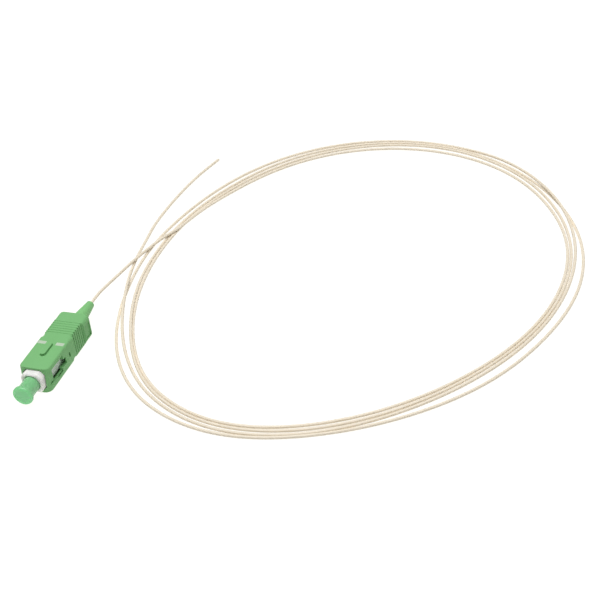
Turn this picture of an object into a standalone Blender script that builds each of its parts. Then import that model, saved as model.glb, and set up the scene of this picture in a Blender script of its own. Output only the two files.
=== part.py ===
"""Fibre optic pigtail: a square push-pull connector with its dust cap, and its free buffered fibre.

The connector lies on its wide face. Its axis runs along Y, with the mating end towards -Y, and +Z is up.
The origin is on the floor, under the middle of the connector. The fibre leaves the boot towards +Y and
lies on the floor in four loose turns. Sizes are in millimetres, and stations along the connector are
measured from the front of the grip.
"""
import math

import bmesh
import bpy

MM = 0.001
BEYOND = 1.0              # how far a cutter runs past the face that it opens
ROUND_SEGMENTS = 32

# Clearances
TOUCH_GAP = 0.3           # between two faces that touch on the real part
SLIDE_GAP = 0.2           # between the plug frame and the grip that slides on it
FIT_GAP = 0.1             # round a piece that is seated in a bore
BORE_GAP = 0.2            # round the sprung pieces inside the plug frame

# Travels of the moving pieces
GRIP_TRAVEL = 1.8
FERRULE_TRAVEL = 1.0

# Grip: the green sleeve that is pulled to release the plug
GRIP_WIDTH = 9.0
GRIP_HEIGHT = 7.4
GRIP_LENGTH = 25.4
GRIP_EDGE = 0.5           # bevel of the long edges
GRIP_FRONT_RADIUS = 1.6   # rounding of the front corners, seen from above
GRIP_FRONT_LEAN = 0.9     # how far the lower front edge stands out in front of the upper one
GRIP_REAR_WALL = 5.4      # solid length behind the plug frame's bore
WAIST_START = 13.3
WAIST_DEPTH = 0.35
WAIST_STEP = 0.2          # length of the ramp at each end of the waist
RIB_START = 14.8
RIB_COUNT = 6
RIB_PITCH = 1.06
RIB_GROOVE = 0.6          # width of a groove at its mouth
RIB_RAMP = 0.17
RIB_DEPTH = 0.5           # on the sides
RIB_FACE_DEPTH = 0.15     # on the wide faces
FLANGE_LENGTH = 4.0
FLANGE_WIDTH = 9.3
FLANGE_CHAMFER = 0.8
FLANGE_RECESS_DEPTH = 0.3
FLANGE_RECESS_HEIGHT = 4.4
FLANGE_RECESS_REAR_RIM = 0.7
FLANGE_RECESS_FRONT_RIM = 0.3
FLANGE_RECESS_DROP = 0.3  # how far the recess sits below the axis
CHANNEL_LENGTH = 9.6
CHANNEL_TOP = 2.3         # above the axis, as the heights that follow are
CHANNEL_LEDGE = -1.3      # the channel's lower edge, near its rear end
CHANNEL_DEPTH = 0.4
SILL_LENGTH = 7.15        # in front of the ledge the channel is deeper, down to the sill
SILL_LEVEL = -2.05
SILL_STEP_FRONT = 4.1
SILL_STEP_LEVEL = -2.55
SILL_STEP_DEPTH = 0.35
WINDOW_FRONT = 3.0
WINDOW_TOP = 1.9
CUT_OVERLAP = 0.3         # how far one cut runs into its neighbour
KEY_WIDTH = 1.7
KEY_LENGTH = 5.1
KEY_FRONT = 5.4
KEY_HEIGHT = 0.7
KEY_ROOT = 0.2            # how deep the key's solid starts inside the wall

# Plug frame: the white inner body that the grip slides on
FRAME_WIDTH = 6.3
FRAME_HEIGHT = 5.9
FRAME_CHAMFER = 1.2
FRAME_REACH = 2.1         # how far it stands out in front of the grip
FRAME_LENGTH = 19.1
FRAME_LEAD_IN = 0.3
FRAME_BORE = 5.0
FRAME_BORE_DEPTH = 6.8
FRAME_WALL = 1.0          # inner wall that stops the ferrule's flange
FRAME_WALL_HOLE = 3.0
LATCH_START = 11.0         # the side notches that the adapter's hooks hold
LATCH_LENGTH = 1.4
LATCH_DEPTH = 0.35
LATCH_HEIGHT = 2.6
LATCH_RISE = 0.4          # height of the notches' middle above the axis

# Ferrule and its metal flange
FERRULE_DIAMETER = 2.5
FERRULE_LENGTH = 10.7
FERRULE_REACH = 0.4       # how far its tip stands out of the plug frame
FERRULE_CHAMFER = 0.3
FERRULE_ANGLE = 8.0       # slope of the polished end, in degrees
COLLAR_DIAMETER = 4.5
COLLAR_LENGTH = 3.2
COLLAR_EDGE = 0.2         # bevel of its front edge
COLLAR_TAIL_DIAMETER = 2.0
COLLAR_TAIL_LENGTH = 4.4

# Spring
SPRING_WIRE = 0.4
SPRING_TURNS = 6
SPRING_POINTS = 14        # points on the helix for each turn
SPRING_SIDE_GAP = 0.25    # between the coils and the plug frame's bore

# Stop ring: closes the plug frame and carries the boot
STOP_INSERT_LENGTH = 2.5
STOP_SHOULDER = 6.0
STOP_SHOULDER_LENGTH = 1.5
STOP_TAIL_DIAMETER = 2.6
STOP_TAIL_LENGTH = 7.7
STOP_FRONT_BORE_LENGTH = 3.5
CORE_BORE = 1.4           # the passage for the fibre

# Boot
BOOT_BASE_DIAMETER = 4.6
BOOT_END_DIAMETER = 2.4
BOOT_REACH = 9.7          # how far it stands out behind the grip
BOOT_MOUTH_GAP = 0.4      # between the boot and the grip's rear hole
BOOT_ROUNDING = 0.15
BOOT_BORE_END = 0.3       # end clearance over the stop ring's tail

# Dust cap
CAP_REACH = 7.6           # from the grip's front to the cap's closed end
CAP_KNOB_DIAMETER = 5.8
CAP_KNOB_LENGTH = 1.1
CAP_KNOB_ROUNDING = 0.4
CAP_EDGE = 0.25           # rounding of the knob's rear edge and of the neck's end
CAP_NECK_GAP = 0.25       # between the neck and the plug frame's bore
CAP_END_WALL = 2.0
CAP_BORE_GAP = 0.15
CAP_INNER_GAP = 1.4       # left in front of the plug frame's inner wall

# Fibre
FIBRE_DIAMETER = 0.9
FIBRE_REST = 0.02         # clearance of the lowest strand above the floor
LAYER = 0.98              # rise of a strand that passes over another one
LOOP_CENTRE = (66.9, 56.75)
LOOP_START_DEGREES = 160
LOOP_STEP_DEGREES = 20

# Stations, measured from the grip's front along +Y
FRAME_FRONT = -FRAME_REACH
FRAME_REAR = FRAME_FRONT + FRAME_LENGTH
WALL_REAR = FRAME_FRONT + FRAME_BORE_DEPTH + FRAME_WALL
FERRULE_TIP = FRAME_FRONT - FERRULE_REACH
COLLAR_FRONT = WALL_REAR + TOUCH_GAP
COLLAR_REAR = COLLAR_FRONT + COLLAR_LENGTH
FERRULE_REAR = FERRULE_TIP + FERRULE_LENGTH
STOP_FRONT = FRAME_REAR - STOP_INSERT_LENGTH
SHOULDER_FRONT = FRAME_REAR + TOUCH_GAP
SHOULDER_REAR = SHOULDER_FRONT + STOP_SHOULDER_LENGTH
STOP_REAR = SHOULDER_REAR + STOP_TAIL_LENGTH
BOOT_FRONT = SHOULDER_REAR + TOUCH_GAP
BOOT_REAR = GRIP_LENGTH + BOOT_REACH
CAP_FRONT = -CAP_REACH
CAP_REAR = FRAME_FRONT + FRAME_BORE_DEPTH - CAP_INNER_GAP
MIDDLE = (CAP_FRONT + BOOT_REAR) / 2

# Sizes that follow from the pieces they fit
AXIS_HEIGHT = GRIP_HEIGHT / 2
REAR_BORE = COLLAR_DIAMETER + 2 * BORE_GAP
STOP_INSERT_DIAMETER = REAR_BORE - 2 * FIT_GAP
STOP_FRONT_BORE = COLLAR_TAIL_DIAMETER + 2 * BORE_GAP
BOOT_BORE = STOP_TAIL_DIAMETER + 2 * FIT_GAP
CAP_BORE = FERRULE_DIAMETER + 2 * CAP_BORE_GAP
CAP_NECK_DIAMETER = FRAME_BORE - 2 * CAP_NECK_GAP
LOW = FIBRE_DIAMETER / 2 + FIBRE_REST
HIGH = LOW + LAYER

# The fibre's lead from the boot, in the part's frame: straight out, down, and over the strands it meets
LEAD = [
    (0.0, BOOT_REAR - MIDDLE + TOUCH_GAP, AXIS_HEIGHT),
    (0.0, 26.0, 3.6),
    (0.4, 33.0, 2.95),
    (1.1, 40.5, 2.25),
    (2.4, 49.0, 1.85),
    (3.8, 55.7, HIGH),
    (6.2, 62.6, HIGH),
    (8.8, 68.8, HIGH),
    (11.1, 77.1, 1.15),
]

# Each turn's distance from the loop's middle, every 20 degrees, clockwise seen from above
TURNS = [
    [62.4, 68.0, 73.3, 75.9, 74.9, 71.1, 67.4, 63.9, 61.9,
     61.9, 64.7, 69.9, 74.6, 72.8, 66.3, 61.4, 59.5],
    [60.6, 64.0, 69.8, 75.6, 78.6, 77.0, 72.7, 68.5, 64.9, 62.9,
     63.0, 66.1, 71.5, 75.8, 73.9, 66.9, 62.2, 60.6],
    [61.7, 65.5, 71.8, 77.2, 79.8, 78.0, 74.8, 71.8, 68.9, 66.9,
     67.5, 69.7, 74.0, 78.8, 77.8, 71.3, 65.4, 63.2],
    [63.7, 67.8, 73.9, 78.9, 81.0, 79.1, 74.5, 69.8, 65.9, 64.0,
     64.3, 67.4, 73.0, 77.3, 75.2, 69.3, 65.5, 66.3],
]

# Where a turn rises to pass over an earlier one: (turn, angle in degrees) and the height there
RISES = {
    (1, -120): 0.75, (1, -140): 1.35, (1, -160): 1.0,
    (3, 60): 1.3, (3, 40): HIGH, (3, 20): 0.9,
    (3, -140): 1.1, (3, -160): HIGH,
}

# The cut end, which leaves the loop on its outer side
TAIL = [(0.2, 61.0), (-0.5, 67.9), (-0.6, 78.0), (0.4, 91.4), (2.2, 103.1), (5.1, 114.5)]


def start_empty():
    """Removes whatever the scene holds."""
    for thing in list(bpy.data.objects):
        bpy.data.objects.remove(thing, do_unlink=True)


def make_material(name, colour, roughness, metallic=0.0):
    material = bpy.data.materials.new(name)
    material.use_nodes = True
    shader = material.node_tree.nodes["Principled BSDF"]
    shader.inputs["Base Color"].default_value = (*colour, 1.0)
    shader.inputs["Roughness"].default_value = roughness
    shader.inputs["Metallic"].default_value = metallic
    material.diffuse_color = (*colour, 1.0)
    return material


def object_from_bmesh(name, shape, material, station):
    """Makes an object with its origin on the connector's axis, at a station along it."""
    bmesh.ops.remove_doubles(shape, verts=shape.verts, dist=1e-7)
    bmesh.ops.recalc_face_normals(shape, faces=shape.faces)
    mesh = bpy.data.meshes.new(name)
    shape.to_mesh(mesh)
    shape.free()
    if material:
        mesh.materials.append(material)
    thing = bpy.data.objects.new(name, mesh)
    thing.location = (0.0, (station - MIDDLE) * MM, AXIS_HEIGHT * MM)
    bpy.context.collection.objects.link(thing)
    return thing


def octagon(half_width, half_height, chamfer):
    """The eight corners of a chamfered rectangle, as (x, z), anticlockwise seen from the front."""
    inner_width = half_width - chamfer
    inner_height = half_height - chamfer
    return [
        (inner_width, -half_height), (half_width, -inner_height),
        (half_width, inner_height), (inner_width, half_height),
        (-inner_width, half_height), (-half_width, inner_height),
        (-half_width, -inner_height), (-inner_width, -half_height),
    ]


def lofted(name, sections, material, station):
    """A solid through chamfered rectangles: each section is (y, half width, half height, chamfer)."""
    shape = bmesh.new()
    rings = []
    for y, half_width, half_height, chamfer in sections:
        corners = octagon(half_width, half_height, chamfer)
        rings.append([shape.verts.new((x * MM, y * MM, z * MM)) for x, z in corners])
    for ring, following in zip(rings[:-1], rings[1:]):
        for i in range(len(ring)):
            j = (i + 1) % len(ring)
            shape.faces.new((ring[i], ring[j], following[j], following[i]))
    shape.faces.new(rings[0])
    shape.faces.new(rings[-1])
    return object_from_bmesh(name, shape, material, station)


def turned(name, profile, material, station):
    """A solid of revolution about Y from a closed outline of (radius, y) points."""
    shape = bmesh.new()
    points = [shape.verts.new((radius * MM, y * MM, 0.0)) for radius, y in profile]
    edges = []
    for start, end in zip(points, points[1:] + points[:1]):
        on_axis = start.co.x == 0.0 and end.co.x == 0.0
        if not on_axis:
            edges.append(shape.edges.new((start, end)))
    bmesh.ops.spin(
        shape, geom=points + edges, cent=(0, 0, 0), axis=(0, 1, 0), angle=math.tau,
        steps=ROUND_SEGMENTS, use_merge=True, use_duplicate=False)
    thing = object_from_bmesh(name, shape, material, station)
    thing.data.shade_smooth()
    thing.data.set_sharp_from_angle(angle=math.radians(30))
    return thing


def arc(centre_radius, centre_y, radius, start, end, steps=4):
    """Points of an arc in an outline of (radius, y); angles in degrees from +radius towards +y."""
    angles = [math.radians(start + (end - start) * i / steps) for i in range(steps + 1)]
    return [(centre_radius + radius * math.cos(a), centre_y + radius * math.sin(a)) for a in angles]


def box(name, low, high, station):
    """A box between two corners, given from the axis and the station."""
    shape = bmesh.new()
    bmesh.ops.create_cube(shape, size=1.0)
    for vertex in shape.verts:
        for i in range(3):
            vertex.co[i] = (low[i] if vertex.co[i] < 0 else high[i]) * MM
    return object_from_bmesh(name, shape, None, station)


def combine(target, tool, operation):
    """Cuts or joins a tool object into the target, and hides the tool."""
    modifier = target.modifiers.new(tool.name, "BOOLEAN")
    modifier.operation = operation
    modifier.solver = "EXACT"
    modifier.object = tool
    tool.hide_render = True
    tool.display_type = "WIRE"


def both_sides(target, name, low, high, station):
    """Cuts the same box into the right and the left side of the target."""
    combine(target, box(name + "_right", low, high, station), "DIFFERENCE")
    mirrored_low = (-high[0], low[1], low[2])
    mirrored_high = (-low[0], high[1], high[2])
    combine(target, box(name + "_left", mirrored_low, mirrored_high, station), "DIFFERENCE")


def grip_sections():
    """The grip's outer shape: rounded front, plain body, ribbed waist and chamfered rear flange."""
    half_width = GRIP_WIDTH / 2
    half_height = GRIP_HEIGHT / 2
    waist = half_width - WAIST_DEPTH
    sections = []
    for degrees in (0, 22.5, 45, 67.5, 90):
        angle = math.radians(degrees)
        y = GRIP_FRONT_RADIUS * (1 - math.cos(angle))
        inset = GRIP_FRONT_RADIUS * (1 - math.sin(angle))
        sections.append((y, half_width - inset, half_height, GRIP_EDGE))
    sections.append((WAIST_START, half_width, half_height, GRIP_EDGE))
    sections.append((WAIST_START + WAIST_STEP, waist, half_height, GRIP_EDGE))
    for i in range(RIB_COUNT):
        start = RIB_START + i * RIB_PITCH
        end = start + RIB_GROOVE
        sections.append((start, waist, half_height, GRIP_EDGE))
        sections.append((start + RIB_RAMP, waist - RIB_DEPTH, half_height - RIB_FACE_DEPTH, GRIP_EDGE))
        sections.append((end - RIB_RAMP, waist - RIB_DEPTH, half_height - RIB_FACE_DEPTH, GRIP_EDGE))
        sections.append((end, waist, half_height, GRIP_EDGE))
    flange_start = GRIP_LENGTH - FLANGE_LENGTH
    flange = FLANGE_WIDTH / 2
    sections.append((flange_start, waist, half_height, GRIP_EDGE))
    sections.append((flange_start + WAIST_STEP, flange, half_height, FLANGE_CHAMFER))
    sections.append((GRIP_LENGTH, flange, half_height, FLANGE_CHAMFER))
    return sections


def key_tool():
    """The raised key on the grip's upper face, round at its front end."""
    half_width = KEY_WIDTH / 2
    base = GRIP_HEIGHT / 2 - KEY_ROOT
    top = GRIP_HEIGHT / 2 + KEY_HEIGHT
    outline = [(half_width, KEY_FRONT + KEY_LENGTH), (-half_width, KEY_FRONT + KEY_LENGTH)]
    for i in range(9):
        angle = math.radians(180 + 180 * i / 8)
        outline.append((half_width * math.cos(angle), KEY_FRONT + half_width * (1 + math.sin(angle))))
    shape = bmesh.new()
    bottom = [shape.verts.new((x * MM, y * MM, base * MM)) for x, y in outline]
    face = shape.faces.new(bottom)
    extruded = bmesh.ops.extrude_face_region(shape, geom=[face])
    raised = [item for item in extruded["geom"] if isinstance(item, bmesh.types.BMVert)]
    bmesh.ops.translate(shape, verts=raised, vec=(0, 0, (top - base) * MM))
    return object_from_bmesh("tool_key", shape, None, 0.0)


def make_grip(material):
    grip = lofted("grip", grip_sections(), material, 0.0)
    for vertex in grip.data.vertices:
        if vertex.co.y < (GRIP_FRONT_RADIUS + WAIST_STEP) * MM:
            height = vertex.co.z / (GRIP_HEIGHT * MM) + 0.5
            vertex.co.y -= GRIP_FRONT_LEAN * (1 - height) * MM
    combine(grip, key_tool(), "UNION")

    bore_width = FRAME_WIDTH / 2 + SLIDE_GAP
    bore_height = FRAME_HEIGHT / 2 + SLIDE_GAP
    bore = lofted("tool_grip_bore", [
        (-GRIP_FRONT_LEAN - BEYOND, bore_width, bore_height, FRAME_CHAMFER),
        (GRIP_LENGTH - GRIP_REAR_WALL, bore_width, bore_height, FRAME_CHAMFER),
    ], None, 0.0)
    combine(grip, bore, "DIFFERENCE")

    hole_radius = BOOT_BASE_DIAMETER / 2 + BOOT_MOUTH_GAP
    hole_start = GRIP_LENGTH - GRIP_REAR_WALL - BEYOND
    hole = turned("tool_grip_rear_hole", [
        (0.0, hole_start), (hole_radius, hole_start),
        (hole_radius, GRIP_LENGTH + BEYOND), (0.0, GRIP_LENGTH + BEYOND),
    ], None, 0.0)
    combine(grip, hole, "DIFFERENCE")

    half_width = GRIP_WIDTH / 2
    outside = half_width + BEYOND
    inside = bore_width - CUT_OVERLAP
    both_sides(grip, "tool_channel",
               (half_width - CHANNEL_DEPTH, -GRIP_FRONT_LEAN - BEYOND, CHANNEL_LEDGE),
               (outside, CHANNEL_LENGTH, CHANNEL_TOP), 0.0)
    both_sides(grip, "tool_sill",
               (half_width - CHANNEL_DEPTH, -GRIP_FRONT_LEAN - BEYOND, SILL_LEVEL),
               (outside, SILL_LENGTH, CHANNEL_LEDGE + CUT_OVERLAP), 0.0)
    both_sides(grip, "tool_sill_step",
               (half_width - SILL_STEP_DEPTH, SILL_STEP_FRONT, SILL_STEP_LEVEL),
               (outside, SILL_LENGTH, SILL_LEVEL + CUT_OVERLAP), 0.0)
    both_sides(grip, "tool_window",
               (inside, WINDOW_FRONT, CHANNEL_LEDGE), (outside, CHANNEL_LENGTH, WINDOW_TOP), 0.0)
    both_sides(grip, "tool_window_foot",
               (inside, WINDOW_FRONT, SILL_LEVEL), (outside, SILL_LENGTH, CHANNEL_LEDGE + CUT_OVERLAP), 0.0)
    recess_front = GRIP_LENGTH - FLANGE_LENGTH + WAIST_STEP + FLANGE_RECESS_FRONT_RIM
    recess_floor = FLANGE_WIDTH / 2 - FLANGE_RECESS_DEPTH
    both_sides(grip, "tool_flange_recess",
               (recess_floor, recess_front, -FLANGE_RECESS_DROP - FLANGE_RECESS_HEIGHT / 2),
               (outside, GRIP_LENGTH - FLANGE_RECESS_REAR_RIM, -FLANGE_RECESS_DROP + FLANGE_RECESS_HEIGHT / 2),
               0.0)
    return grip


def make_plug_frame(material):
    half_width = FRAME_WIDTH / 2
    half_height = FRAME_HEIGHT / 2
    frame = lofted("plug_frame", [
        (0.0, half_width - FRAME_LEAD_IN, half_height - FRAME_LEAD_IN, FRAME_CHAMFER),
        (FRAME_LEAD_IN, half_width, half_height, FRAME_CHAMFER),
        (FRAME_LENGTH, half_width, half_height, FRAME_CHAMFER),
    ], material, FRAME_FRONT)

    wall_rear = FRAME_BORE_DEPTH + FRAME_WALL
    bore = turned("tool_frame_bore", [
        (0.0, -BEYOND), (FRAME_BORE / 2, -BEYOND), (FRAME_BORE / 2, FRAME_BORE_DEPTH),
        (FRAME_WALL_HOLE / 2, FRAME_BORE_DEPTH), (FRAME_WALL_HOLE / 2, wall_rear),
        (REAR_BORE / 2, wall_rear), (REAR_BORE / 2, FRAME_LENGTH + BEYOND), (0.0, FRAME_LENGTH + BEYOND),
    ], None, FRAME_FRONT)
    combine(frame, bore, "DIFFERENCE")

    latch_low = LATCH_RISE - LATCH_HEIGHT / 2
    latch_high = LATCH_RISE + LATCH_HEIGHT / 2
    both_sides(frame, "tool_latch",
               (half_width - LATCH_DEPTH, LATCH_START, latch_low),
               (half_width + BEYOND, LATCH_START + LATCH_LENGTH, latch_high), 0.0)
    return frame


def make_ferrule(material):
    """The ceramic ferrule, with its polished end sloped for an angled contact."""
    radius = FERRULE_DIAMETER / 2
    tip_radius = radius - FERRULE_CHAMFER
    ferrule = turned("ferrule", [
        (0.0, 0.0), (tip_radius, 0.0), (radius, 3 * FERRULE_CHAMFER), (radius, FERRULE_LENGTH - FERRULE_CHAMFER),
        (radius - FERRULE_CHAMFER, FERRULE_LENGTH), (0.0, FERRULE_LENGTH),
    ], material, FERRULE_TIP)
    slope = math.tan(math.radians(FERRULE_ANGLE))
    for vertex in ferrule.data.vertices:
        if vertex.co.y < FERRULE_CHAMFER * MM:
            vertex.co.y += (vertex.co.z + tip_radius * MM) * slope
    return ferrule


def make_ferrule_flange(material):
    """The metal collar that holds the ferrule, with the tail that the spring sits on."""
    collar = COLLAR_DIAMETER / 2
    tail = COLLAR_TAIL_DIAMETER / 2
    cup = FERRULE_DIAMETER / 2 + FIT_GAP
    cup_depth = FERRULE_REAR - COLLAR_FRONT + TOUCH_GAP
    core = CORE_BORE / 2
    return turned("ferrule_flange", [
        (cup, 0.0), (collar - COLLAR_EDGE, 0.0), (collar, COLLAR_EDGE), (collar, COLLAR_LENGTH),
        (tail, COLLAR_LENGTH), (tail, COLLAR_LENGTH + COLLAR_TAIL_LENGTH),
        (core, COLLAR_LENGTH + COLLAR_TAIL_LENGTH), (core, cup_depth), (cup, cup_depth),
    ], material, COLLAR_FRONT)


def tube_curve(name, points, diameter, resolution, material):
    """A round tube with closed ends along a list of points in millimetres."""
    curve = bpy.data.curves.new(name, "CURVE")
    curve.dimensions = "3D"
    curve.bevel_depth = diameter / 2 * MM
    curve.bevel_resolution = resolution
    curve.use_fill_caps = True
    line = curve.splines.new("POLY")
    line.points.add(len(points) - 1)
    for point, place in zip(line.points, points):
        point.co = (place[0] * MM, place[1] * MM, place[2] * MM, 1.0)
    curve.materials.append(material)
    thing = bpy.data.objects.new(name, curve)
    bpy.context.collection.objects.link(thing)
    return thing


def make_spring(material):
    """The coil spring between the flange's collar and the stop ring."""
    front = COLLAR_REAR + TOUCH_GAP + SPRING_WIRE / 2
    rear = STOP_FRONT - TOUCH_GAP - SPRING_WIRE / 2
    radius = REAR_BORE / 2 - SPRING_SIDE_GAP - SPRING_WIRE / 2
    steps = SPRING_TURNS * SPRING_POINTS
    points = []
    for i in range(steps + 1):
        angle = math.tau * i / SPRING_POINTS
        y = front + (rear - front) * i / steps - front
        points.append((radius * math.cos(angle), y, radius * math.sin(angle)))
    spring = tube_curve("spring", points, SPRING_WIRE, 1, material)
    spring.location = (0.0, (front - MIDDLE) * MM, AXIS_HEIGHT * MM)
    return spring


def make_stop_ring(material):
    insert = STOP_INSERT_DIAMETER / 2
    shoulder = STOP_SHOULDER / 2
    tail = STOP_TAIL_DIAMETER / 2
    front_bore = STOP_FRONT_BORE / 2
    core = CORE_BORE / 2
    shoulder_front = SHOULDER_FRONT - STOP_FRONT
    shoulder_rear = SHOULDER_REAR - STOP_FRONT
    end = STOP_REAR - STOP_FRONT
    return turned("stop_ring", [
        (front_bore, 0.0), (insert, 0.0), (insert, shoulder_front), (shoulder, shoulder_front),
        (shoulder, shoulder_rear), (tail, shoulder_rear), (tail, end), (core, end),
        (core, STOP_FRONT_BORE_LENGTH), (front_bore, STOP_FRONT_BORE_LENGTH),
    ], material, STOP_FRONT)


def make_boot(material):
    """The tapered boot: straight inside the grip, then narrowing to the fibre."""
    base = BOOT_BASE_DIAMETER / 2
    end = BOOT_END_DIAMETER / 2
    bore = BOOT_BORE / 2
    core = CORE_BORE / 2
    taper_start = GRIP_LENGTH - BOOT_FRONT
    length = BOOT_REAR - BOOT_FRONT
    bore_end = STOP_REAR - BOOT_FRONT + BOOT_BORE_END
    rounded_end = arc(end - BOOT_ROUNDING, length - BOOT_ROUNDING, BOOT_ROUNDING, 10, 90, 3)
    return turned("boot", [
        (bore, 0.0), (base, 0.0), (base, taper_start), *rounded_end,
        (core, length), (core, bore_end), (bore, bore_end),
    ], material, BOOT_FRONT)


def make_dust_cap(material):
    """The push-on cap: a round knob, and a hollow neck that goes over the ferrule."""
    knob = CAP_KNOB_DIAMETER / 2
    neck = CAP_NECK_DIAMETER / 2
    bore = CAP_BORE / 2
    length = CAP_REAR - CAP_FRONT
    front_arc = arc(knob - CAP_KNOB_ROUNDING, CAP_KNOB_ROUNDING, CAP_KNOB_ROUNDING, -90, 0)
    rear_arc = arc(knob - CAP_EDGE, CAP_KNOB_LENGTH - CAP_EDGE, CAP_EDGE, 0, 90, 2)
    return turned("dust_cap", [
        (0.0, 0.0), *front_arc, *rear_arc, (neck, CAP_KNOB_LENGTH),
        (neck, length - CAP_EDGE), (neck - CAP_EDGE, length), (bore, length),
        (bore, CAP_END_WALL), (0.0, CAP_END_WALL),
    ], material, CAP_FRONT)


def fibre_route():
    """The fibre's points, from the boot round the four turns to the cut end."""
    points = list(LEAD)
    for turn, distances in enumerate(TURNS):
        skipped = 1 if turn == 0 else 0
        for i, distance in enumerate(distances):
            degrees = LOOP_START_DEGREES - LOOP_STEP_DEGREES * (i + skipped)
            angle = math.radians(degrees)
            x = LOOP_CENTRE[0] + distance * math.cos(angle)
            y = LOOP_CENTRE[1] + distance * math.sin(angle)
            points.append((x, y, RISES.get((turn, degrees), LOW)))
    points += [(x, y, LOW) for x, y in TAIL]
    return points


def build():
    start_empty()
    green = make_material("green_moulding", (0.22, 0.53, 0.23), 0.42)
    cap_green = make_material("cap_moulding", (0.23, 0.56, 0.29), 0.38)
    boot_green = make_material("boot_moulding", (0.22, 0.53, 0.23), 0.5)
    white = make_material("white_moulding", (0.84, 0.83, 0.80), 0.4)
    zirconia = make_material("zirconia", (0.90, 0.89, 0.85), 0.2)
    nickel = make_material("nickel_plate", (0.72, 0.69, 0.62), 0.3, 1.0)
    steel = make_material("spring_steel", (0.62, 0.62, 0.63), 0.3, 1.0)
    black = make_material("black_moulding", (0.03, 0.03, 0.03), 0.5)
    ivory = make_material("fibre_buffer", (0.85, 0.75, 0.60), 0.45)

    make_grip(green)
    make_plug_frame(white)
    make_ferrule(zirconia)
    make_ferrule_flange(nickel)
    make_spring(steel)
    make_stop_ring(black)
    make_boot(boot_green)
    make_dust_cap(cap_green)
    tube_curve("fibre", fibre_route(), FIBRE_DIAMETER, 2, ivory)


build()
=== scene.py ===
"""The looks of a fibre optic pigtail: a green square push-pull plug with a dust cap, and its ivory fibre.

Lengths are in millimetres, apart from the camera's, the lamp's and the table's, which are in metres. The
plug's own pieces are drawn about its axis, with x to the side, z up and the middle number y counted from
the front of the grip towards the boot.
"""

import math

import bmesh
import bpy
import numpy as np
from mathutils import Matrix, Vector


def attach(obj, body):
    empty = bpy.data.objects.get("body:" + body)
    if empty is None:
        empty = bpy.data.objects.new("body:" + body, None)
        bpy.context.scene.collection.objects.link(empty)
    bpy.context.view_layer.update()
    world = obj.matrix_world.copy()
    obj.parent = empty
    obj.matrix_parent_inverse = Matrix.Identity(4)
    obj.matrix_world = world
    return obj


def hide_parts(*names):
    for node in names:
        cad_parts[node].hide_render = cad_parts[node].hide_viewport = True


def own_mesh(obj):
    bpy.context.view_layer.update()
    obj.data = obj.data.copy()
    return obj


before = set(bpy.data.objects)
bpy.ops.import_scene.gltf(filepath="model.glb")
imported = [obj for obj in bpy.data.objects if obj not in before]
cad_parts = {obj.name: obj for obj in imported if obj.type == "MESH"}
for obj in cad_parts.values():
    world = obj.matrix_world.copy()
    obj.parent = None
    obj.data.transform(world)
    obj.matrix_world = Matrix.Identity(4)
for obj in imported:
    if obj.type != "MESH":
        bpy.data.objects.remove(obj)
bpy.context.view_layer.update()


# Camera, table and light. The camera looks down from in front of the plug's mating end, and from the side
# that the fibre's loop lies on. The part lies on a white table that glows, as a light table does, under one
# large soft lamp almost straight above it, in an evenly bright room.
CAMERA_PLACE = (0.15856, -0.22789, 0.20343)
CAMERA_RIGHT = Vector((0.9522, 0.2942, -0.0823))
CAMERA_UP = Vector((-0.1080, 0.5762, 0.8101))
CAMERA_BACK = Vector((0.2857, -0.7625, 0.5804))
CAMERA_SENSOR = 36.0
CAMERA_LENS = 72.0
CAMERA_NEAREST = 0.01
LAMP_PLACE = Vector((-0.02, 0.06, 1.3))
LAMP_SIZE = 1.3
LAMP_WATTS = 22.5
ROOM_BRIGHTNESS = 0.12
TABLE_HALF = 3.0          # half the length of its sides
TABLE_DEPTH = 0.00005     # how far its surface lies under the part
TABLE_GREY = 0.1
TABLE_GLOW = (0.98, 0.97, 0.94)

camera = bpy.data.objects.new("camera", bpy.data.cameras.new("camera"))
camera.data.sensor_width = CAMERA_SENSOR
camera.data.lens = CAMERA_LENS
camera.data.clip_start = CAMERA_NEAREST
camera_turn = Matrix((CAMERA_RIGHT, CAMERA_UP, CAMERA_BACK)).transposed()
camera.matrix_world = Matrix.Translation(CAMERA_PLACE) @ camera_turn.to_4x4()
bpy.context.collection.objects.link(camera)
bpy.context.scene.camera = camera

lamp = bpy.data.objects.new("lamp", bpy.data.lights.new("lamp", "AREA"))
lamp.data.size = LAMP_SIZE
lamp.data.energy = LAMP_WATTS
lamp.location = LAMP_PLACE
lamp.rotation_euler = LAMP_PLACE.to_track_quat("Z", "Y").to_euler()
bpy.context.collection.objects.link(lamp)

room = bpy.data.worlds.new("room")
room.use_nodes = True
room_light = room.node_tree.nodes["Background"].inputs
room_light["Strength"].default_value = ROOM_BRIGHTNESS
room_light["Color"].default_value = (1.0, 1.0, 1.0, 1.0)
bpy.context.scene.world = room
bpy.context.scene.view_settings.view_transform = "Standard"

table_paint = bpy.data.materials.new("table_paint")
table_paint.use_nodes = True
table_look = table_paint.node_tree.nodes["Principled BSDF"].inputs
table_look["Base Color"].default_value = (TABLE_GREY, TABLE_GREY, TABLE_GREY, 1.0)
table_look["Emission Color"].default_value = (*TABLE_GLOW, 1.0)
table_look["Emission Strength"].default_value = 1.0
table_look["Roughness"].default_value = 0.9
table_corners = [(x * TABLE_HALF, y * TABLE_HALF, -TABLE_DEPTH)
                 for x, y in ((-1, -1), (1, -1), (1, 1), (-1, 1))]
table_mesh = bpy.data.meshes.new("table")
table_mesh.from_pydata(table_corners, [], [(0, 1, 2, 3)])
table_mesh.materials.append(table_paint)
table = bpy.data.objects.new("table", table_mesh)
bpy.context.collection.objects.link(table)


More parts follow.
